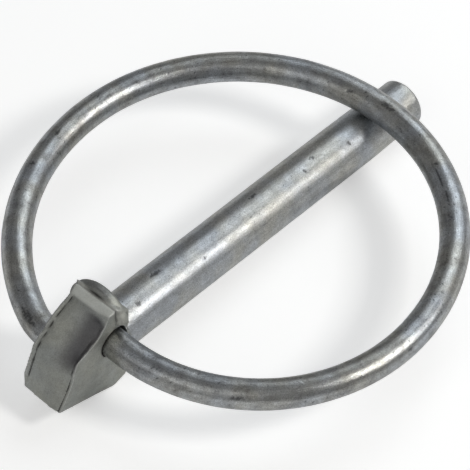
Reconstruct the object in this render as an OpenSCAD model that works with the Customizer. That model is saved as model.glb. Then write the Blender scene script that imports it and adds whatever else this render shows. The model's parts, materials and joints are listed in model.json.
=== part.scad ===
// Linch pin: a round shank with a forged head, and a sprung wire ring that swings in the head.
// It lies as it would on a table: the head's underside and the shank's tip both touch the floor.
// The origin is on the shank's axis at the head's collar, X runs to the tip and Z is up.

/* [Shank] */
// Diameter of the shank
shank_d = 6; // [4:0.1:12]
// Length from the head's collar to the inside of the closed ring
grip_length = 40.3; // [30:0.1:80]
// Length of the tip that stands past the grip, under the ring and beyond it
tip_length = 8.1; // [6:0.1:16]
// Diameter of the tip as a share of the shank's
tip_d_share = 0.967; // [0.9:0.001:1]
// Edge break at the end of the tip, as a share of the shank's diameter
tip_chamfer_share = 0.05; // [0.02:0.01:0.15]

/* [Head] */
// Length of the head from its back face to its straight end edge
head_length = 10.3; // [8:0.1:18]
// Skew of the end edge, which stands further out on the right side
end_skew = 4; // [0:0.5:10]
// Thickness of the flattened head between its two side faces
head_width = 5.4; // [4:0.1:10]
// Height of the head's flat top above the shank's axis
head_rise = 6.75; // [5:0.05:12]
// Depth of the head's lowest point below the shank's axis
head_drop = 5.75; // [4.5:0.05:10]
// Height of the straight end edge below the axis, as a share of the drop
end_drop_share = 0.55; // [0.3:0.01:0.9]
// Top of the upright nose, as a share of the rise
nose_rise_share = 0.09; // [0:0.01:0.3]
// Place of the cheek on the sloping front, along the head
cheek_x_share = 0.875; // [0.8:0.005:0.95]
// Height of the cheek, as a share of the rise
cheek_z_share = 0.35; // [0.2:0.005:0.5]
// Place of the brow on the sloping front, along the head
brow_x_share = 0.605; // [0.5:0.005:0.75]
// Height of the brow, as a share of the rise
brow_z_share = 0.75; // [0.6:0.005:0.9]
// Front edge of the flat top, along the head
flat_x_share = 0.335; // [0.2:0.005:0.45]
// Height of the flat top's front edge, as a share of the rise
flat_z_share = 0.97; // [0.85:0.005:1]
// Place of the lowest point, along the head
low_x_share = 0.18; // [0.1:0.01:0.4]
// Height of the underside where it meets the collar, as a share of the drop
heel_share = 0.9; // [0.7:0.01:1]

/* [Collar] */
// Thickness of the collar at the back of the head
collar_t = 1.4; // [0.8:0.1:3]
// Place of the collar in front of the head's back face, as a share of its thickness
collar_back_share = 0.38; // [0.2:0.01:0.6]
// Sideways shift of the collar to the left, as a share of the head's width
collar_shift_share = 0.075; // [0:0.005:0.15]
// Radius of the collar, as a share of the head's width
collar_r_share = 0.77; // [0.6:0.01:1]
// Height of the collar's centre, as a share of the rise
collar_z_share = 0.46; // [0.3:0.01:0.6]
// Edge break of the collar, as a share of its thickness
collar_break_share = 0.25; // [0.1:0.01:0.4]
// Radius of the round neck behind the head, as a share of the shank's radius
neck_share = 1.12; // [1.02:0.01:1.3]

/* [Hollows] */
// Radius of the upper hollow in the front face, as a share of the head's length
upper_hollow_r_share = 0.58; // [0.4:0.01:1]
// Lean of the upper hollow, which makes it deeper on the right side
upper_hollow_lean = 18; // [5:1:30]
// Radius of the lower hollow in the front face, as a share of the head's length
lower_hollow_r_share = 1.26; // [0.9:0.01:2]
// Lean of the lower hollow, which makes it deeper on the right side
lower_hollow_lean = 12; // [4:1:20]
// Place of the kink where the two hollows meet on the right side, along the head
kink_x_share = 0.782; // [0.7:0.001:0.85]
// Height of that kink, as a share of the rise
kink_z_share = 0.474; // [0.4:0.001:0.6]
// Place where the upper hollow reaches the flat top on the right side, along the head
hollow_top_x_share = 0.35; // [0.3:0.005:0.45]
// Height of that place, as a share of the rise
hollow_top_z_share = 0.91; // [0.8:0.005:0.98]

/* [Ring] */
// Diameter of the ring's wire
wire_d = 3.4; // [2:0.05:6]
// How far the two legs stand to either side of the ring's even circle
leg_offset = 2.74; // [1.5:0.02:5]
// Distance from the collar back to the right leg's hole
hole_back = 2.17; // [1.8:0.01:5]
// Height of the right leg's hole above the axis
hole_rise = 1.67; // [0.5:0.01:3]
// Sideways shift of the ring's centre to the right of the shank
ring_shift = 1.71; // [0:0.01:4]
// Radius of the last bend of the left leg
bend_r = 7.8; // [5:0.1:12]
// Thickness of the wire in that bend, where it is pressed to shape, as a share of its diameter
bend_swell_share = 1.02; // [1.015:0.001:1.04]
// Gap between the closed ring and the tip that it rests over
rest_gap = 0.06; // [0.02:0.01:0.3]
// Clearance round the wire in its holes
hole_clearance = 0.3; // [0.15:0.01:0.5]
// Depth of each hole, as a share of the head's width
hole_depth_share = 0.44; // [0.3:0.01:0.46]

/* [Hidden] */
$fn = 72;
shank_r = shank_d / 2;
wire_r = wire_d / 2;
tip_r = shank_r * tip_d_share;
// The closed ring rests over the middle of the taper between the shank and its tip
seat_r = (shank_r + tip_r) / 2;
tip_chamfer = shank_d * tip_chamfer_share;
tip_end = grip_length + tip_length;
half_width = head_width / 2;
overrun = head_length;
collar_r = head_width * collar_r_share;
collar_z = head_rise * collar_z_share;
collar_break = collar_t * collar_break_share;
collar_back = collar_t * collar_back_share;
collar_shift = head_width * collar_shift_share;
neck_r = shank_r * neck_share;
low_x = head_length * low_x_share;
end_reach = head_length + half_width * tan(end_skew);
// The ring's size follows from the grip: the even circle runs from the right leg to past the grip
ring_r = (grip_length + wire_r + hole_back + leg_offset) / 2;
left_r = ring_r + leg_offset;
right_r = ring_r - leg_offset;
reach = right_r + sqrt(ring_r * ring_r - ring_shift * ring_shift);
ring_slope = asin((seat_r + wire_r + rest_gap - hole_rise) / reach);
// The left leg's last bend ends just outside the head's left face
mouth_y = half_width + hole_clearance;
bend_turn = asin((mouth_y + ring_shift + leg_offset) / (left_r - bend_r));
// The pieces of wire on both sides run this far into the bend
bend_lap = wire_d * (bend_swell_share - 1) * 5;
stagger = (left_r - bend_r) * cos(bend_turn) + bend_r - right_r;
hole_r = wire_r + hole_clearance;
hole_depth = head_width * hole_depth_share;
leg_end = half_width - hole_depth + hole_clearance;
// The wire bears on the front of its holes, so the holes sit a little behind and above it
hole_bias = hole_clearance / 2;
// Tilt of the whole pin as it lies on the head's underside and the tip
lie_tilt = atan((head_drop - tip_r) / (tip_end - tip_chamfer + low_x));

// Everything is drawn about the shank's own axis and then laid down
module lay() {
    rotate([0, lie_tilt, 0]) children();
}

// Shank turned about its axis: full size along the grip, tapering under the ring to the tip
module shank() {
    rotate([0, 90, 0]) rotate_extrude() polygon([
        [0, -collar_t],
        [shank_r, -collar_t],
        [shank_r, grip_length],
        [tip_r, grip_length + wire_d],
        [tip_r, tip_end - tip_chamfer],
        [tip_r - tip_chamfer, tip_end],
        [0, tip_end]
    ]);
}

// Side outline of the forged head, from the end edge over the top to the underside
module head_outline() {
    polygon([
        [-end_reach, -head_drop * end_drop_share],
        [-end_reach, head_rise * nose_rise_share],
        [-head_length * cheek_x_share, head_rise * cheek_z_share],
        [-head_length * brow_x_share, head_rise * brow_z_share],
        [-head_length * flat_x_share, head_rise * flat_z_share],
        [-collar_t - collar_back, head_rise],
        [0, head_rise - collar_t],
        [0, -head_drop * heel_share],
        [-low_x, -head_drop]
    ]);
}

// Round disc with both its edges broken, standing on the YZ plane and running back
module collar_disc(radius) {
    translate([-collar_t, 0, 0]) rotate([0, 90, 0]) {
        cylinder(r1 = radius - collar_break, r2 = radius, h = collar_break);
        translate([0, 0, collar_break]) cylinder(r = radius, h = collar_t - collar_break * 2);
        translate([0, 0, collar_t - collar_break])
            cylinder(r1 = radius, r2 = radius - collar_break, h = collar_break);
    }
}

// Long round cutter across the head, leaning so that it bites deeper on the right side
module hollow(radius, lean, depth_x, depth_z) {
    rotate(a = lean, v = [depth_z, 0, depth_x]) rotate([90, 0, 0])
        cylinder(r = radius, h = overrun * 2, center = true);
}

// Cutters for the hollow front face: one above the kink and one below it
module front_hollows() {
    kink_x = -head_length * kink_x_share;
    kink_z = head_rise * kink_z_share;
    top_x = -head_length * hollow_top_x_share;
    top_z = head_rise * hollow_top_z_share;
    upper_r = head_length * upper_hollow_r_share;
    chord_x = top_x - kink_x;
    chord_z = top_z - kink_z;
    chord = norm([chord_x, chord_z]);
    stand = sqrt(upper_r * upper_r - chord * chord / 4) + half_width * tan(upper_hollow_lean);
    translate([(top_x + kink_x) / 2 - stand * chord_z / chord, 0, (top_z + kink_z) / 2 + stand * chord_x / chord])
        hollow(upper_r, upper_hollow_lean, chord_z / chord, chord_x / chord);

    end_x = -end_reach;
    end_z = -head_drop * end_drop_share;
    lower_r = head_length * lower_hollow_r_share;
    face_x = kink_x - end_x;
    face_z = kink_z - end_z;
    face = norm([face_x, face_z]);
    clear = sqrt(lower_r * lower_r - face * face / 4) + half_width * tan(lower_hollow_lean);
    translate([(end_x + kink_x) / 2 - clear * face_z / face, 0, (end_z + kink_z) / 2 + clear * face_x / face])
        hollow(lower_r, lower_hollow_lean, face_z / face, face_x / face);
}

// Cutter that squares off the end edge at its skew
module end_trim() {
    translate([-head_length, 0, 0]) rotate([0, 0, -end_skew])
        translate([-overrun, -overrun, -overrun]) cube([overrun, overrun * 2, overrun * 2]);
}

// Two parallel blind holes, one in each side face, staggered along the ring's plane
module leg_holes() {
    translate([-hole_back + hole_bias, 0, hole_rise + hole_bias]) {
        translate([0, -half_width + hole_depth, 0]) rotate([90, 0, 0])
            cylinder(r = hole_r, h = overrun);
        translate([-stagger * cos(ring_slope), half_width - hole_depth, -stagger * sin(ring_slope)])
            rotate([-90, 0, 0]) cylinder(r = hole_r, h = overrun);
    }
}

module pin() {
    color([0.62, 0.63, 0.64]) lay() difference() {
        union() {
            shank();
            difference() {
                rotate([90, 0, 0]) linear_extrude(height = head_width, center = true) head_outline();
                front_hollows();
                end_trim();
            }
            translate([-collar_back, collar_shift, collar_z]) collar_disc(collar_r);
            collar_disc(neck_r);
        }
        leg_holes();
    }
}

// Part of a circle of wire in the XY plane, from one angle over a given turn
module wire_arc(radius, from, turn, thickness = wire_d) {
    rotate([0, 0, from]) rotate_extrude(angle = turn) translate([radius, 0]) circle(d = thickness);
}

// Straight piece of wire along Y, between two places
module wire_leg(from, to) {
    translate([0, from, 0]) rotate([-90, 0, 0]) cylinder(d = wire_d, h = to - from);
}

// The ring lies in its own plane: a half circle over the tip, a tighter quarter to the right leg,
// and a wider quarter with a last bend to the left leg
module ring() {
    color([0.56, 0.57, 0.58]) lay() translate([-hole_back, 0, hole_rise]) rotate([0, -ring_slope, 0]) {
        translate([right_r, -ring_shift, 0]) wire_arc(ring_r, -90, 180);
        translate([right_r, -ring_shift - leg_offset, 0]) {
            wire_arc(right_r, 180, 90);
            wire_arc(left_r, 90, 90 - bend_turn + asin(bend_lap / left_r));
            translate([-(left_r - bend_r) * cos(bend_turn), (left_r - bend_r) * sin(bend_turn), 0])
                wire_arc(bend_r, 180 - bend_turn, bend_turn, wire_d * bend_swell_share);
        }
        wire_leg(-ring_shift - leg_offset, -leg_end);
        translate([-stagger, 0, 0]) wire_leg(leg_end, mouth_y + bend_lap);
    }
}

pin();
ring();
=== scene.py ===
# Linch pin as photographed: a forged pin and a sprung wire ring, both of zinc plated steel.
import json
import math
import random

import bmesh
import bpy
import numpy as np
from mathutils import Matrix, Vector, kdtree, noise


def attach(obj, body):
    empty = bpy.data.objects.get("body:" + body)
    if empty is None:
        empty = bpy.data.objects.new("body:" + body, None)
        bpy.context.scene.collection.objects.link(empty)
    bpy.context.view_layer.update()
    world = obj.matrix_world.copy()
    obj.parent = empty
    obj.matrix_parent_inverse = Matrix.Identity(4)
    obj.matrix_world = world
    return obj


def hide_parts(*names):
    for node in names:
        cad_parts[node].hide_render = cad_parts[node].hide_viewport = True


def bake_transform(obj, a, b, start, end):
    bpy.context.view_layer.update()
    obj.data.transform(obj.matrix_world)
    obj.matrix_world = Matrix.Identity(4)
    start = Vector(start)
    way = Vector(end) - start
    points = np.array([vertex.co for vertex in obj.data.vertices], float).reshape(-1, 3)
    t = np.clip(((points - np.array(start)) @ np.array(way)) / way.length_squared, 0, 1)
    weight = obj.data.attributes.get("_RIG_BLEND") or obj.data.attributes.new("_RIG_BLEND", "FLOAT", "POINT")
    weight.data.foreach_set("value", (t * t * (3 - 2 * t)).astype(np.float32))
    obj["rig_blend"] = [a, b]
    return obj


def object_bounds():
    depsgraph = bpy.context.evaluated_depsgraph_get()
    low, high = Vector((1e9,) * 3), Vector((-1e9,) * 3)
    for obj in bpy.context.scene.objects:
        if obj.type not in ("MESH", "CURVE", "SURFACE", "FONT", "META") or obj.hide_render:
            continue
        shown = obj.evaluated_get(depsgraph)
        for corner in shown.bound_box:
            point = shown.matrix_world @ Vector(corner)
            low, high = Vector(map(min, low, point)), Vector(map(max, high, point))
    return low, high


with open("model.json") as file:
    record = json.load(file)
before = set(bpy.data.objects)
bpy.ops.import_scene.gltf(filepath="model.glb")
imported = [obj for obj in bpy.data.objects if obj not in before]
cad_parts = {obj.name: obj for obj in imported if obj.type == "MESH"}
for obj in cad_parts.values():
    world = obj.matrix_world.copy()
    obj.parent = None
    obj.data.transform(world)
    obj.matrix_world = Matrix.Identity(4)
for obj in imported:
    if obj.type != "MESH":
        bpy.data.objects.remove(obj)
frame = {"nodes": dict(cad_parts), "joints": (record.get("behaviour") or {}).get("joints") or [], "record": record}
cad_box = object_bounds()

# Lengths below are in millimetres, and the meshes are scaled to metres at the end
MM = 0.001

# Driving sizes of the pin and its ring, the same as the solids have
SHANK_R = 3.0
GRIP_LENGTH = 40.3
TIP_LENGTH = 8.1
TIP_R = SHANK_R * 0.967
TIP_CHAMFER = 0.3
HEAD_LENGTH = 10.3
HALF_WIDTH = 2.7
HEAD_RISE = 6.75
COLLAR_FRONT = 1.93
FLAT_FRONT = HEAD_LENGTH * 0.335
WIRE_D = 3.4
WIRE_R = WIRE_D / 2
LEG_OFFSET = 2.74
HOLE_BACK = 2.17
HOLE_RISE = 1.67
RING_SHIFT = 1.71
BEND_R = 7.8
REST_GAP = 0.06
HOLE_CLEARANCE = 0.3
HOLE_DEPTH = HALF_WIDTH * 2 * 0.44

# Places that follow from them
TIP_END = GRIP_LENGTH + TIP_LENGTH
RING_R = (GRIP_LENGTH + WIRE_R + HOLE_BACK + LEG_OFFSET) / 2
LEFT_R = RING_R + LEG_OFFSET
RIGHT_R = RING_R - LEG_OFFSET
SEAT_R = (SHANK_R + TIP_R) / 2
REACH = RIGHT_R + math.sqrt(RING_R ** 2 - RING_SHIFT ** 2)
RING_SLOPE = math.asin((SEAT_R + WIRE_R + REST_GAP - HOLE_RISE) / REACH)
MOUTH_Y = HALF_WIDTH + HOLE_CLEARANCE
BEND_TURN = math.asin((MOUTH_Y + RING_SHIFT + LEG_OFFSET) / (LEFT_R - BEND_R))
LEG_END = HALF_WIDTH - HOLE_DEPTH + HOLE_CLEARANCE

# Forged details that the solids leave out: the top's flare to the left and the wider mouth of a hole
FLARE_OUT = 0.7
MOUTH_AHEAD = 0.35
MOUTH_ABOVE = 0.40
MOUTH_GAP = 0.80
DISH_DEPTH = 0.30
MARK_DEPTH = 0.025
FRONT_PASSES = 500
# Length that the rounding of its corners takes off the head's thin end
END_LOSS = 0.08
MOUTH_SIDES = 48
SMOOTH_PASSES = 4

# Ridges and grooves along the edges of the head's front: distance from the edge, width and height
LEFT_FLASH = (0.18, 0.16, 0.20)
LEFT_GROOVE = (0.52, 0.14, 0.12)
RIGHT_FLASH = (0.14, 0.12, 0.13)
RIGHT_GROOVE = (0.45, 0.14, 0.06)
LOW_GROOVE = (0.32, 0.12, 0.12)
CREVICE_DEPTH = 0.22

# Pits: how many, the seed of their places, the range of their radii, and their depth as a share of it
SHANK_PITS = (110, 23, (0.08, 0.22), 0.08)
WIRE_PITS = (420, 29, (0.08, 0.24), 0.10)

# Ragged outline of the dark marks, and how dark they are beside a pit
RAGGED_SIZE = 0.25
RAGGED_STRENGTH = 1.6
STAIN_SHARE = 0.8

# Dark marks at rounded places of spots in the photograph, worked out through its camera:
# millimetres along, degrees about the middle, length and width
SHANK_MARKS = (
    (3, 335, 0.4, 0.3),
    (7, 5, 0.7, 0.3),
    (13, 325, 0.2, 0.25),
    (23, 10, 0.5, 0.25),
    (30, 340, 0.2, 0.3),
    (32, 355, 0.4, 0.25),
    (37, 330, 0.2, 0.2),
)
WIRE_MARKS = (
    (17, 35, 0.8, 0.15),
    (36, 30, 0.5, 0.15),
    (54, 105, 0.3, 0.2),
    (57, 110, 1.0, 0.15),
    (60, 115, 1.5, 0.15),
    (62, 105, 0.3, 0.2),
    (72, 100, 0.9, 0.35),
    (77, 130, 0.4, 0.3),
    (107, 110, 0.3, 0.2),
    (115, 90, 0.4, 0.2),
    (120, 80, 0.3, 0.25),
    (141, 55, 1.2, 0.4),
)

# Fineness of the meshes
PIN_VOXEL = 0.14
WIRE_SIDES = 56
WIRE_STEP = 0.15

# Stretch of wire, measured from its end in the hole, over which the ring flexes as it swings
FLEX_FROM = 3.3
FLEX_TO = 15.0

# Camera of the photograph
CAMERA_TARGET = (17.587, -2.001, 1.9)
CAMERA_AZIMUTH = math.radians(-48.564)
CAMERA_ELEVATION = math.radians(50.5)
CAMERA_ROLL = math.radians(1.608)
CAMERA_DISTANCE = 374.38
SENSOR = 36.0
LENS = 263.55

# Noise of the plating: scale to the millimetre, detail and roughness
MOTTLE = (0.7, 8, 0.66)
STREAKS = (2.4, 4, 0.6)
SPECKS = (4.6, 3, 0.7)
SAND = (9.0, 2, 0.6)
PATCHES = (0.22, 2, 0.6)

# Tones of the plating, from its dark to its light patches, of its pits and of the head, then painted tones:
# painted shade over the front's dish, crevice, collar and corners, and painted highlights on the partly worn
# edges, the rubbed flat strip and its corner
PIN_TONES = ((0.30, (0.36, 0.36, 0.36)), (0.5, (0.45, 0.45, 0.45)), (0.72, (0.54, 0.545, 0.555)))
RING_TONES = ((0.30, (0.26, 0.255, 0.25)), (0.5, (0.41, 0.41, 0.41)), (0.72, (0.54, 0.55, 0.56)))
PIT_TONE = (0.05, 0.05, 0.055, 1)
HEAD_TONE = (0.365, 0.375, 0.335, 1)
PAINTED_SHADE_TONE = (0.09, 0.085, 0.095, 1)
WORN_EDGE_HIGHLIGHT_TONE = (0.70, 0.70, 0.68, 1)
CORNER_SHADE_TONE = (0.05, 0.047, 0.045, 1)
RUB_AND_HIGHLIGHT_TONE = (0.76, 0.76, 0.72, 1)

# Light: a small key from the right, a broad cool one from the tip's side, a weak one over the head
# and a dim room
FLOOR_GLOW = 0.45
FLOOR_MIRRORED = 0.12
FLOOR_SIZE = 4000.0
FLOOR_TONE = (0.82, 0.82, 0.82, 1)
ROOM_LIGHT = 0.20
LIGHT_REACH = 500.0
KEY = {"towards": (0.343, -0.647, 0.663), "size": 110.0, "radiance": 24.0, "colour": (1.0, 0.99, 0.96)}
SIDE = {"towards": (0.75, 0.10, 0.66), "size": 320.0, "radiance": 1.9, "colour": (0.90, 0.96, 1.0)}
OVER = {"towards": (-0.75, -0.10, 0.65), "size": 380.0, "radiance": 0.7, "colour": (1.0, 1.0, 0.97)}

# The pin's own axes as rows: along the shank, to the left and up
SHANK_AXIS = frame["record"]["mounts"][0]["axis"]
PIN_AXES = np.array([SHANK_AXIS, (0, 1, 0), (-SHANK_AXIS[2], 0, SHANK_AXIS[0])])


def smoothstep(low, high, value):
    share = np.clip((value - low) / (high - low), 0, 1)
    return share * share * (3 - 2 * share)


def bell(value, centre, width):
    return np.exp(-((value - centre) / width) ** 2)


def ridge(value, shape):
    """Height of a ridge that is given by its place, width and height."""
    place, width, height = shape
    return bell(value, place, width) * height


def field(points, size, seed):
    """Smooth noise from -1 to 1 at each point, with features of about the given size."""
    shift = Vector((seed * 17.3, seed * -9.1, seed * 5.7))
    return np.array([noise.noise(Vector(p) / size + shift) for p in points])


def vertex_normals(mesh):
    normals = np.empty(len(mesh.vertices) * 3, np.float32)
    mesh.vertex_normals.foreach_get("vector", normals)
    return normals.reshape(-1, 3).astype(float)


def vertex_places(mesh):
    places = np.empty(len(mesh.vertices) * 3, np.float32)
    mesh.vertices.foreach_get("co", places)
    return places.reshape(-1, 3).astype(float)


def move_vertices(mesh, places):
    mesh.vertices.foreach_set("co", places.astype(np.float32).ravel())
    mesh.update()


def mesh_edges(mesh):
    ends = np.empty(len(mesh.edges) * 2, np.int32)
    mesh.edges.foreach_get("vertices", ends)
    return ends.reshape(-1, 2)


def store(mesh, name, values):
    """Keeps one number or one vector for each vertex, for the materials to read."""
    kind, key = ("FLOAT", "value") if values.ndim == 1 else ("FLOAT_VECTOR", "vector")
    mesh.attributes.new(name, kind, "POINT").data.foreach_set(key, values.astype(np.float32).ravel())


def inside_box(places):
    """Places in metres, kept from standing out of the solids' own box."""
    return np.clip(places, np.array(cad_box[0]), np.array(cad_box[1]))


def sink_pits(places, normals, count, seed, radii, depth_share, sites=None):
    """Sinks round pits at random vertices, or at the sites given, and returns how deep each vertex is."""
    rng = random.Random(seed)
    tree = kdtree.KDTree(len(places))
    for index, place in enumerate(places):
        tree.insert(place, index)
    tree.balance()
    deep = np.zeros(len(places))
    sunk = np.zeros(len(places))
    for _ in range(count):
        centre = Vector(places[rng.choice(sites) if sites is not None else rng.randrange(len(places))])
        radius = rng.uniform(*radii) * rng.choice((0.6, 0.8, 1.0))
        strength = rng.uniform(0.4, 1.0)
        for _, index, distance in tree.find_range(centre, radius):
            fall = (1 - (distance / radius) ** 2) ** 2 * strength
            deep[index] = max(deep[index], fall)
            sunk[index] = max(sunk[index], fall * radius * depth_share)
    places -= normals * sunk[:, None]
    return deep


def stains(along, turn, radius, ragged, marks):
    """How dark each vertex is, from 0 to 1, under ragged marks on a round bar of the given radius."""
    dark = np.zeros(len(along))
    for place, degrees, length, width in marks:
        across = np.radians((np.degrees(turn) - degrees + 180) % 360 - 180) * radius
        spread = ((along - place) / length) ** 2 + (across / width) ** 2
        dark = np.maximum(dark, smoothstep(1.4, 0.2, spread + ragged))
    return dark


def relax(places, ends, share, passes):
    """Evens out the vertices by moving each towards the mean of its neighbours."""
    count = np.bincount(ends.ravel(), minlength=len(places))[:, None]
    for _ in range(passes):
        total = np.zeros_like(places)
        np.add.at(total, ends[:, 0], places[ends[:, 1]])
        np.add.at(total, ends[:, 1], places[ends[:, 0]])
        places += (total / count - places) * share[:, None]


def sharpness(places, normals, ends):
    """How strongly the surface turns at each vertex, above 0 on outer edges and below 0 in corners."""
    step = places[ends[:, 1]] - places[ends[:, 0]]
    length = np.einsum("ij,ij->i", step, step)
    total = np.zeros(len(places))
    np.add.at(total, ends[:, 0], -np.einsum("ij,ij->i", normals[ends[:, 0]], step) / length)
    np.add.at(total, ends[:, 1], np.einsum("ij,ij->i", normals[ends[:, 1]], step) / length)
    return total / np.bincount(ends.ravel(), minlength=len(places))


def cutter(name, points):
    """Helper solid for shaping the pin: the hull of some points."""
    mesh = bpy.data.meshes.new(name)
    shape = bmesh.new()
    for point in points:
        shape.verts.new(point)
    bmesh.ops.convex_hull(shape, input=shape.verts)
    shape.to_mesh(mesh)
    shape.free()
    made = bpy.data.objects.new(name, mesh)
    bpy.context.scene.collection.objects.link(made)
    return made


def hole_mouth():
    """Wider round mouth of the right leg's hole where it breaks into the collar."""
    turn = np.arange(MOUTH_SIDES) * 2 * math.pi / MOUTH_SIDES
    across = -HOLE_BACK + MOUTH_AHEAD + (WIRE_R + MOUTH_GAP) * np.cos(turn)
    rise = HOLE_RISE + MOUTH_ABOVE + (WIRE_R + MOUTH_GAP) * np.sin(turn)
    return [(x, y, z) for y in (-HALF_WIDTH, -HALF_WIDTH * 2) for x, z in zip(across, rise)]


def left_flare():
    """Wedge by which the head's top widens to the left, up to the collar."""
    back = -COLLAR_FRONT + 0.3
    return [
        (-FLAT_FRONT, HALF_WIDTH, HEAD_RISE * 0.965),
        (back, HALF_WIDTH + FLARE_OUT, HEAD_RISE * 0.995),
        (back, 0, HEAD_RISE * 0.995),
        (-FLAT_FRONT - 1.2, HALF_WIDTH, HEAD_RISE * 0.6),
        (back, HALF_WIDTH + FLARE_OUT + 0.5, HEAD_RISE * 0.55),
        (back, 0, HEAD_RISE * 0.55),
    ]


def remeshed_pin():
    """An even mesh of the pin, in millimetres and in the pin's own axes."""
    shape = bmesh.new()
    shape.from_mesh(frame["nodes"]["pin"].data)
    turn = Matrix(PIN_AXES.tolist()).to_4x4()
    bmesh.ops.transform(shape, matrix=turn @ Matrix.Scale(1 / MM, 4), verts=shape.verts)
    bmesh.ops.remove_doubles(shape, verts=shape.verts, dist=MM)
    mesh = bpy.data.meshes.new("pin_outline")
    shape.to_mesh(mesh)
    shape.free()
    source = bpy.data.objects.new("pin_outline", mesh)
    bpy.context.scene.collection.objects.link(source)
    helpers = [
        ("UNION", cutter("left_flare", left_flare())),
        ("DIFFERENCE", cutter("hole_mouth", hole_mouth())),
    ]
    for operation, helper in helpers:
        change = source.modifiers.new(helper.name, "BOOLEAN")
        change.operation = operation
        change.object = helper
    remesh = source.modifiers.new("even", "REMESH")
    remesh.mode = "VOXEL"
    remesh.voxel_size = PIN_VOXEL
    depsgraph = bpy.context.evaluated_depsgraph_get()
    even = bpy.data.meshes.new_from_object(source.evaluated_get(depsgraph))
    for spent in [source] + [helper for _, helper in helpers]:
        bpy.data.objects.remove(spent)
    return even


def true_shank(places):
    """Puts the vertices of the shank back on its turned profile."""
    along = places[:, 0]
    radius = np.hypot(places[:, 1], places[:, 2])
    profile = np.interp(along, (GRIP_LENGTH, GRIP_LENGTH + WIRE_D), (SHANK_R, TIP_R))
    on_wall = (along > 0.3) & (along < TIP_END - TIP_CHAMFER) & (radius > profile - 0.2)
    places[on_wall, 1:] *= (profile / np.maximum(radius, SHANK_R / 2))[on_wall, None]


def front_face(places, normals):
    """Share from 0 to 1 of how far each vertex belongs to the head's sloping front."""
    not_side = smoothstep(0.85, 0.6, np.abs(normals[:, 1]))
    not_under = smoothstep(-0.5, -0.2, normals[:, 2])
    return not_side * not_under * smoothstep(-FLAT_FRONT + 0.1, -FLAT_FRONT - 0.5, places[:, 0])


def smooth_front(places, normals, ends):
    """Blends the hollows of the front face into one soft dish inside its edges."""
    inner = smoothstep(HALF_WIDTH - 0.05, HALF_WIDTH - 0.45, np.abs(places[:, 1]))
    below_strip = smoothstep(HEAD_RISE * 0.97, HEAD_RISE * 0.85, places[:, 2])
    share = 0.5 * inner * front_face(places, normals) * below_strip
    near = share > 0
    touched = ends[near[ends].any(1)]
    kept, renumbered = np.unique(touched, return_inverse=True)
    patch = places[kept]
    relax(patch, renumbered.reshape(-1, 2), share[kept], FRONT_PASSES)
    places[kept] = patch


def dish(places):
    """How deep the dish in the upper right of the front face is, from 0 to 1."""
    _, side, up = places.T
    return bell(side, -1.6, 1.0) * smoothstep(1.0, 3.2, up) * smoothstep(6.4, 5.6, up)


def painted_shade(places, normals):
    """How much painted shade the head gets, from 0 to 1: the upper right of its front, the crevice and the collar.
    """
    along, side, up = places.T
    shade = smoothstep(0.9, -1.6, side) * smoothstep(0.4, 2.8, up) * smoothstep(6.6, 6.1, up)
    crevice = bell(along, -COLLAR_FRONT - 0.12, 0.15) * smoothstep(5.0, 5.8, up)
    collar = smoothstep(-COLLAR_FRONT, -COLLAR_FRONT + 0.4, along) * smoothstep(0.4, 0.0, along)
    collar *= smoothstep(3.4, 4.4, up) * smoothstep(-1.6, -0.4, side) * 0.6
    return np.maximum(shade * front_face(places, normals), np.maximum(crevice, collar))


def rubbed_and_highlit(places, normals):
    """How much painted highlight the head gets, from 0 to 1: on its flat strip, which is also rubbed bare, and a
    painted glint at the corner beside it.
    """
    along, side, up = places.T
    flat = smoothstep(0.75, 0.95, normals[:, 2]) * smoothstep(HEAD_RISE * 0.9, HEAD_RISE * 0.95, up)
    behind_front = smoothstep(-FLAT_FRONT - 0.2, -FLAT_FRONT + 0.1, along)
    flat *= behind_front * smoothstep(-COLLAR_FRONT + 0.4, -COLLAR_FRONT, along)
    corner = bell(side, -HALF_WIDTH, 0.8) * bell(along, -COLLAR_FRONT + 0.3, 0.8) * smoothstep(4.2, 5.4, up)
    return np.maximum(flat, corner * 0.5)


def forge_head(places, normals):
    """Forging marks on the head: flash along the front edges, a dish, and uneven faces."""
    along, side, up = places.T
    head = smoothstep(0.2, -0.6, along)
    front = front_face(places, normals)
    ragged = 0.65 + 0.8 * field(places, 0.9, 3)
    from_left = HALF_WIDTH - side
    left_flash = ridge(from_left, LEFT_FLASH) - ridge(from_left, LEFT_GROOVE)
    left_span = smoothstep(-2.6, -1.2, up)
    from_right = HALF_WIDTH + side
    right_flash = ridge(from_right, RIGHT_FLASH) - ridge(from_right, RIGHT_GROOVE)
    right_span = smoothstep(0.2, 1.4, up) * smoothstep(5.6, 4.8, up)
    groove = -ridge(from_right, LOW_GROOVE) * smoothstep(1.2, 0.2, up)
    edges = ragged * (left_flash * left_span + right_flash * right_span + groove)
    crevice = -bell(along, -COLLAR_FRONT - 0.1, 0.16) * CREVICE_DEPTH * smoothstep(4.6, 5.6, up)
    uneven = field(places, 3.2, 5) * 0.04 + field(places, 1.1, 7) * 0.012
    rough_spots = np.maximum(field(places, 0.45, 11) - 0.25, 0) * 0.09
    near_hole = bell(np.hypot(along + HOLE_BACK, up - HOLE_RISE), WIRE_R + 0.9, 0.8)
    near_hole *= smoothstep(-HALF_WIDTH + 0.3, -HALF_WIDTH + 0.1, side) * smoothstep(1.0, -0.5, up)
    return front * (edges - dish(places) * DISH_DEPTH) + crevice + head * uneven + near_hole * rough_spots


def draw_marks(grain):
    """Slight waves and long die lines left on a drawn surface, whose first coordinate runs along it."""
    stretched = grain * np.array((0.05, 1.0, 1.0))
    return field(grain, 2.6, 13) * 0.012 + field(stretched, 0.55, 17) * 0.008 + field(grain, 0.5, 19) * 0.006


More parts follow.
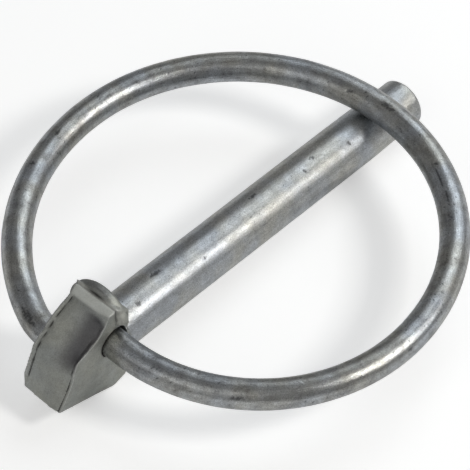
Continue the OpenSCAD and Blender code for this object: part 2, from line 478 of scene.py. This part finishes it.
def make_pin():
    mesh = remeshed_pin()
    mesh.name = "forged_pin"
    places = vertex_places(mesh)
    ends = mesh_edges(mesh)
    soft = np.where((places[:, 0] < 0.6) | (places[:, 0] > TIP_END - 0.6), 0.5, 0.1)
    for _ in range(SMOOTH_PASSES):
        relax(places, ends, soft, 1)
        relax(places, ends, soft * -0.8, 1)
    places[:, 0] -= END_LOSS * smoothstep(-8.0, -HEAD_LENGTH, places[:, 0])
    true_shank(places)
    move_vertices(mesh, places)
    smooth_front(places, vertex_normals(mesh), ends)
    move_vertices(mesh, places)
    grain = places.copy()
    normals = vertex_normals(mesh)
    shank = smoothstep(0.0, 0.6, grain[:, 0])
    places += normals * (forge_head(grain, normals) + draw_marks(grain) * shank)[:, None]
    relax(places, ends, soft * 0.6, 1)
    on_shank = np.flatnonzero((grain[:, 0] > 1) & (grain[:, 0] < TIP_END - 1)).tolist()
    deep = sink_pits(places, normals, *SHANK_PITS, on_shank)
    turn = np.arctan2(grain[:, 1], grain[:, 2])
    ragged = field(grain, RAGGED_SIZE, 31) * RAGGED_STRENGTH
    stained = shank * stains(grain[:, 0], turn, SHANK_R, ragged, SHANK_MARKS)
    places -= normals * (stained * MARK_DEPTH)[:, None]
    move_vertices(mesh, places)
    store(mesh, "grain", grain)
    store(mesh, "pit", np.maximum(deep, stained * STAIN_SHARE))
    # sharpness, which the material turns into a painted highlight on outer edges and painted shade in corners
    store(mesh, "edge", sharpness(places, vertex_normals(mesh), ends))
    # mask of the rubbed flat strip with its painted highlight, and of the painted glint at the corner beside it
    store(mesh, "rub_and_highlight", rubbed_and_highlit(grain, normals))
    store(mesh, "head", 1 - shank)
    # painted shade on the head: the upper right of its front, the crevice and the collar
    store(mesh, "painted_shade", painted_shade(grain, normals))
    move_vertices(mesh, inside_box(places @ PIN_AXES * MM))
    return finish_piece("forged_pin", mesh, forged_steel())


def wire_path():
    """Points along the middle of the wire in the ring's plane, from the right leg to the left."""
    turn_y = -RING_SHIFT - LEG_OFFSET
    bend_x = RIGHT_R - (LEFT_R - BEND_R) * math.cos(BEND_TURN)
    bend_y = turn_y + (LEFT_R - BEND_R) * math.sin(BEND_TURN)
    stagger_x = bend_x - BEND_R
    quarter, half = math.pi / 2, math.pi
    stretches = [
        line((0, -LEG_END), (0, turn_y)),
        arc((RIGHT_R, turn_y), RIGHT_R, half, half + quarter),
        arc((RIGHT_R, -RING_SHIFT), RING_R, -quarter, quarter),
        arc((RIGHT_R, turn_y), LEFT_R, quarter, half - BEND_TURN),
        arc((bend_x, bend_y), BEND_R, half - BEND_TURN, half),
        line((stagger_x, bend_y), (stagger_x, LEG_END)),
    ]
    return np.concatenate([s[:-1] for s in stretches] + [stretches[-1][-1:]])


def line(start, end):
    count = max(2, round(math.dist(start, end) / WIRE_STEP) + 1)
    return np.linspace(start, end, count)


def arc(centre, radius, start, end):
    count = max(2, round(abs(end - start) * radius / WIRE_STEP) + 1)
    turn = np.linspace(start, end, count)
    return np.array(centre) + radius * np.stack((np.cos(turn), np.sin(turn)), 1)


def ring_axes():
    """The ring's plane in the pin's own axes: towards the tip, to the left, and its normal."""
    slope = (math.cos(RING_SLOPE), 0, math.sin(RING_SLOPE))
    return np.array([slope, (0, 1, 0), (-slope[2], 0, slope[0])])


def sweep_wire(path):
    """Round wire along a path: its vertices, its faces, and each vertex's place on the straightened wire."""
    step = np.diff(path, axis=0)
    along = np.concatenate(((0,), np.cumsum(np.hypot(*step.T))))
    tangent = np.gradient(path, along, axis=0)
    tangent /= np.linalg.norm(tangent, axis=1)[:, None]
    outward = np.stack((tangent[:, 1], -tangent[:, 0]), 1)
    turn = np.arange(WIRE_SIDES) * 2 * math.pi / WIRE_SIDES
    across, rise = WIRE_R * np.cos(turn), WIRE_R * np.sin(turn)
    flat = path[:, None] + outward[:, None] * across[None, :, None]
    places = np.concatenate((flat, np.broadcast_to(rise[None, :, None], flat.shape[:2] + (1,))), 2)
    grain = np.stack(np.broadcast_arrays(along[:, None], across[None], rise[None]), 2)
    first = np.arange(len(path) - 1)[:, None] * WIRE_SIDES
    here = first + np.arange(WIRE_SIDES)[None]
    after = first + (np.arange(WIRE_SIDES)[None] + 1) % WIRE_SIDES
    quads = np.stack((here, after, after + WIRE_SIDES, here + WIRE_SIDES), 2)
    faces = quads.reshape(-1, 4).tolist()
    last = (len(path) - 1) * WIRE_SIDES
    faces += [list(range(WIRE_SIDES))[::-1], list(range(last, last + WIRE_SIDES))]
    return places.reshape(-1, 3), faces, grain.reshape(-1, 3)


def make_ring():
    flat, faces, grain = sweep_wire(wire_path())
    places = flat @ ring_axes() + np.array((-HOLE_BACK, 0, HOLE_RISE))
    mesh = bpy.data.meshes.new("spring_ring")
    mesh.from_pydata((places @ PIN_AXES).tolist(), [], faces)
    shape = bmesh.new()
    shape.from_mesh(mesh)
    bmesh.ops.recalc_face_normals(shape, faces=shape.faces)
    shape.to_mesh(mesh)
    shape.free()
    places = vertex_places(mesh)
    normals = vertex_normals(mesh)
    from_end = np.minimum(grain[:, 0], grain[:, 0].max() - grain[:, 0])
    free = smoothstep(FLEX_FROM - 1.5, FLEX_FROM, from_end)
    places += normals * (draw_marks(grain) * 1.3 * free)[:, None]
    deep = sink_pits(places, normals, *WIRE_PITS)
    turn = np.arctan2(grain[:, 2], grain[:, 1])
    ragged = field(grain, RAGGED_SIZE, 37) * RAGGED_STRENGTH
    stained = stains(grain[:, 0], turn, WIRE_R, ragged, WIRE_MARKS)
    places -= normals * (stained * MARK_DEPTH)[:, None]
    move_vertices(mesh, inside_box(places * MM))
    store(mesh, "grain", grain)
    store(mesh, "pit", np.maximum(deep, stained * STAIN_SHARE))
    ring = finish_piece("spring_ring", mesh, spring_steel())
    hinge = Vector(frame["joints"][0]["pos_m"])
    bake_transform(ring, "pin", "ring", start=hinge, end=hinge + Vector((0, FLEX_TO * MM, 0)))
    flex = smoothstep(FLEX_FROM, FLEX_TO, from_end)
    mesh.attributes["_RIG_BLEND"].data.foreach_set("value", flex.astype(np.float32))
    return ring


def finish_piece(name, mesh, material):
    mesh.materials.clear()
    mesh.materials.append(material)
    mesh.polygons.foreach_set("use_smooth", [True] * len(mesh.polygons))
    piece = bpy.data.objects.new(name, mesh)
    bpy.context.scene.collection.objects.link(piece)
    return piece


def add(tree, kind, inputs, **settings):
    """One shader node, with its inputs linked or set, and its other settings."""
    made = tree.nodes.new(kind)
    for key, value in settings.items():
        setattr(made, key, value)
    for key, value in inputs.items():
        if isinstance(value, bpy.types.NodeSocket):
            tree.links.new(value, made.inputs[key])
        else:
            made.inputs[key].default_value = value
    return made


def attribute(tree, name, output):
    return add(tree, "ShaderNodeAttribute", {}, attribute_name=name).outputs[output]


def noise_of(tree, vector, scale, detail, roughness):
    made = add(tree, "ShaderNodeTexNoise",
               {"Vector": vector, "Scale": scale, "Detail": detail, "Roughness": roughness})
    return made.outputs[0]


def ramp(tree, factor, stops):
    """Colour ramp through (place, colour) stops."""
    made = add(tree, "ShaderNodeValToRGB", {0: factor})
    elements = made.color_ramp.elements
    elements[0].position, elements[1].position = stops[0][0], stops[-1][0]
    elements[0].color, elements[1].color = (*stops[0][1], 1), (*stops[-1][1], 1)
    for place, colour in stops[1:-1]:
        elements.new(place).color = (*colour, 1)
    return made.outputs[0]


def mapped(tree, value, low, high, to_low, to_high):
    made = add(tree, "ShaderNodeMapRange", {0: value, 1: low, 2: high, 3: to_low, 4: to_high})
    return made.outputs[0]


def mixed(tree, factor, first, second, blend="MIX"):
    made = add(tree, "ShaderNodeMix", {0: factor, 6: first, 7: second}, data_type="RGBA", blend_type=blend)
    return made.outputs[2]


def maths(tree, operation, first, second):
    return add(tree, "ShaderNodeMath", {0: first, 1: second}, operation=operation).outputs[0]


def zinc(name, tones, streak_strength, speck_strength, rough, bumps):
    """Dull zinc plate: mottled tones, warm and cool patches, long streaks, dark specks and pits."""
    material = bpy.data.materials.new(name)
    material.use_nodes = True
    tree = material.node_tree
    tree.nodes.clear()
    grain = attribute(tree, "grain", "Vector")
    stretched = add(tree, "ShaderNodeMapping", {"Vector": grain, "Scale": (0.08, 1.0, 1.0)}).outputs[0]
    mottle = noise_of(tree, grain, *MOTTLE)
    streaks = noise_of(tree, stretched, *STREAKS)
    specks = noise_of(tree, grain, *SPECKS)
    sand = noise_of(tree, grain, *SAND)
    patches = noise_of(tree, grain, *PATCHES)
    tone = ramp(tree, mottle, tones)
    tint = ramp(tree, patches, ((0.36, (1.02, 1.01, 0.95)), (0.62, (0.96, 1.0, 1.05))))
    tone = mixed(tree, 1.0, tone, tint, "MULTIPLY")
    streak = ramp(tree, streaks, ((0.34, (0.62,) * 3), (0.5, (1.0,) * 3), (0.7, (1.22,) * 3)))
    tone = mixed(tree, streak_strength, tone, streak, "MULTIPLY")
    speck = ramp(tree, specks, ((0.28, (0.35,) * 3), (0.42, (1.0,) * 3), (0.75, (1.15,) * 3)))
    tone = mixed(tree, speck_strength, tone, speck, "MULTIPLY")
    tone = mixed(tree, 0.7, tone, ramp(tree, sand, ((0.32, (0.6,) * 3), (0.68, (1.4,) * 3))), "MULTIPLY")
    pitted = mapped(tree, attribute(tree, "pit", "Fac"), 0.05, 0.7, 0.0, 0.7)
    tone = mixed(tree, pitted, tone, PIT_TONE)
    roughness = maths(tree, "ADD", mapped(tree, mottle, 0.3, 0.7, *rough),
                      mapped(tree, specks, 0.3, 0.7, 0.06, -0.06))
    height = maths(tree, "ADD", maths(tree, "MULTIPLY", specks, 1.0), maths(tree, "MULTIPLY", streaks, 0.4))
    height = maths(tree, "ADD", height, maths(tree, "MULTIPLY", sand, 0.5))
    bump = add(tree, "ShaderNodeBump", {"Height": height, "Strength": bumps, "Distance": 0.1 * MM})
    shader = add(tree, "ShaderNodeBsdfPrincipled",
                 {"Base Color": tone, "Roughness": roughness, "Normal": bump.outputs[0], "Metallic": 1.0})
    out = add(tree, "ShaderNodeOutputMaterial", {"Surface": shader.outputs[0]})
    out.is_active_output = True
    return material, tree, shader


def relink(tree, socket, change):
    """Puts a change between a socket and what feeds it."""
    tree.links.new(change(socket.links[0].from_socket), socket)


def forged_steel():
    """Zinc on the forged pin: smoother and greener on the head, with painted highlights on its outer edges, which
    are partly worn, on its rubbed flat strip and at the corner beside it, and painted shade in its corners, over
    the upper right of its front, in the crevice and on the collar.
    """
    material, tree, shader = zinc("forged_zinc", PIN_TONES, 0.3, 0.6, (0.43, 0.34), 0.22)
    tone = shader.inputs["Base Color"].links[0].from_socket
    head = attribute(tree, "head", "Fac")
    rub_and_highlight = attribute(tree, "rub_and_highlight", "Fac")
    edge = attribute(tree, "edge", "Fac")
    tone = mixed(tree, mapped(tree, head, 0, 1, 0, 0.6), tone, HEAD_TONE)
    # painted shade: darkens the upper right of the front, the crevice and the collar
    painted_shade_share = mapped(tree, attribute(tree, "painted_shade", "Fac"), 0, 1, 0, 0.8)
    tone = mixed(tree, painted_shade_share, tone, PAINTED_SHADE_TONE)
    # painted highlight on outer edges, partly worn zinc: lighter where the surface turns outward
    tone = mixed(tree, mapped(tree, edge, 0.6, 1.8, 0, 0.5), tone, WORN_EDGE_HIGHLIGHT_TONE)
    # painted shade: concave corners darkened almost to black
    tone = mixed(tree, mapped(tree, edge, -0.25, -1.0, 0, 0.85), tone, CORNER_SHADE_TONE)
    # painted highlight on the rubbed flat strip and a painted glint at the corner beside it
    tone = mixed(tree, mapped(tree, rub_and_highlight, 0, 1, 0, 0.6), tone, RUB_AND_HIGHLIGHT_TONE)
    tree.links.new(tone, shader.inputs["Base Color"])
    satin = maths(tree, "ADD", maths(tree, "MULTIPLY", head, 0.16), maths(tree, "MULTIPLY", rub_and_highlight, 0.2))
    relink(tree, shader.inputs["Roughness"], lambda rough: maths(tree, "ADD", rough, satin))
    return material


def spring_steel():
    """Zinc on the drawn ring: duller, more mottled and more pitted than the pin."""
    return zinc("spring_zinc", RING_TONES, 0.55, 0.7, (0.40, 0.28), 0.3)[0]


def floor_material():
    """Pale floor that looks white to the camera and still takes the shadow."""
    material = bpy.data.materials.new("pale_floor")
    material.use_nodes = True
    tree = material.node_tree
    shader = tree.nodes["Principled BSDF"]
    shader.inputs["Base Color"].default_value = FLOOR_TONE
    shader.inputs["Roughness"].default_value = 0.9
    shader.inputs["Specular IOR Level"].default_value = 0.0
    shader.inputs["Emission Color"].default_value = (1, 1, 1, 1)
    rays = add(tree, "ShaderNodeLightPath", {})
    seen = maths(tree, "MULTIPLY", rays.outputs["Is Camera Ray"], FLOOR_GLOW)
    mirrored = maths(tree, "MAXIMUM", rays.outputs["Is Glossy Ray"], rays.outputs["Is Transmission Ray"])
    mirrored = maths(tree, "MULTIPLY", mirrored, FLOOR_MIRRORED)
    tree.links.new(maths(tree, "ADD", seen, mirrored), shader.inputs["Emission Strength"])
    return material


def make_floor():
    half = FLOOR_SIZE / 2 * MM
    level = cad_box[0].z
    corners = [(-half, -half, level), (half, -half, level), (half, half, level), (-half, half, level)]
    mesh = bpy.data.meshes.new("floor")
    mesh.from_pydata(corners, [], [(0, 1, 2, 3)])
    mesh.materials.append(floor_material())
    floor = bpy.data.objects.new("floor", mesh)
    bpy.context.scene.collection.objects.link(floor)


def make_light(name, light):
    """Square soft light in the given direction from the part, of the given radiance."""
    data = bpy.data.lights.new(name, "AREA")
    data.size = light["size"] * MM
    data.energy = light["radiance"] * math.pi * data.size ** 2
    data.color = light["colour"]
    lamp = bpy.data.objects.new(name, data)
    towards = Vector(light["towards"]).normalized()
    lamp.location = Vector(CAMERA_TARGET) * MM + towards * LIGHT_REACH * MM
    lamp.rotation_euler = towards.to_track_quat("Z", "Y").to_euler()
    bpy.context.scene.collection.objects.link(lamp)


def make_room():
    world = bpy.data.worlds.new("room")
    world.use_nodes = True
    tree = world.node_tree
    rays = add(tree, "ShaderNodeLightPath", {})
    glow = mapped(tree, rays.outputs["Is Camera Ray"], 0.0, 1.0, ROOM_LIGHT, 1.0)
    tree.links.new(glow, tree.nodes["Background"].inputs["Strength"])
    tree.nodes["Background"].inputs["Color"].default_value = (1, 1, 1, 1)
    bpy.context.scene.world = world


def make_camera():
    """Camera at the photograph's angle, given by its target, direction and roll."""
    level = math.cos(CAMERA_ELEVATION)
    ahead = math.cos(CAMERA_AZIMUTH) * level
    aside = -math.sin(CAMERA_AZIMUTH) * level
    aim = Vector((aside, ahead, -math.sin(CAMERA_ELEVATION)))
    right = aim.cross(Vector((0, 0, 1))).normalized()
    right = Matrix.Rotation(-CAMERA_ROLL, 3, aim) @ right
    up = right.cross(aim)
    camera = bpy.data.objects.new("camera", bpy.data.cameras.new("camera"))
    camera.data.sensor_width = SENSOR
    camera.data.lens = LENS
    place = (Vector(CAMERA_TARGET) - aim * CAMERA_DISTANCE) * MM
    camera.matrix_world = Matrix.Translation(place) @ Matrix((right, up, -aim)).transposed().to_4x4()
    bpy.context.scene.collection.objects.link(camera)
    bpy.context.scene.camera = camera


bpy.context.scene.view_settings.view_transform = "Standard"
make_camera()
make_room()
make_floor()
make_light("key_light", KEY)
make_light("side_light", SIDE)
make_light("over_light", OVER)

pin = make_pin()
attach(pin, "pin")
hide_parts("pin")

ring = make_ring()
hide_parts("ring")
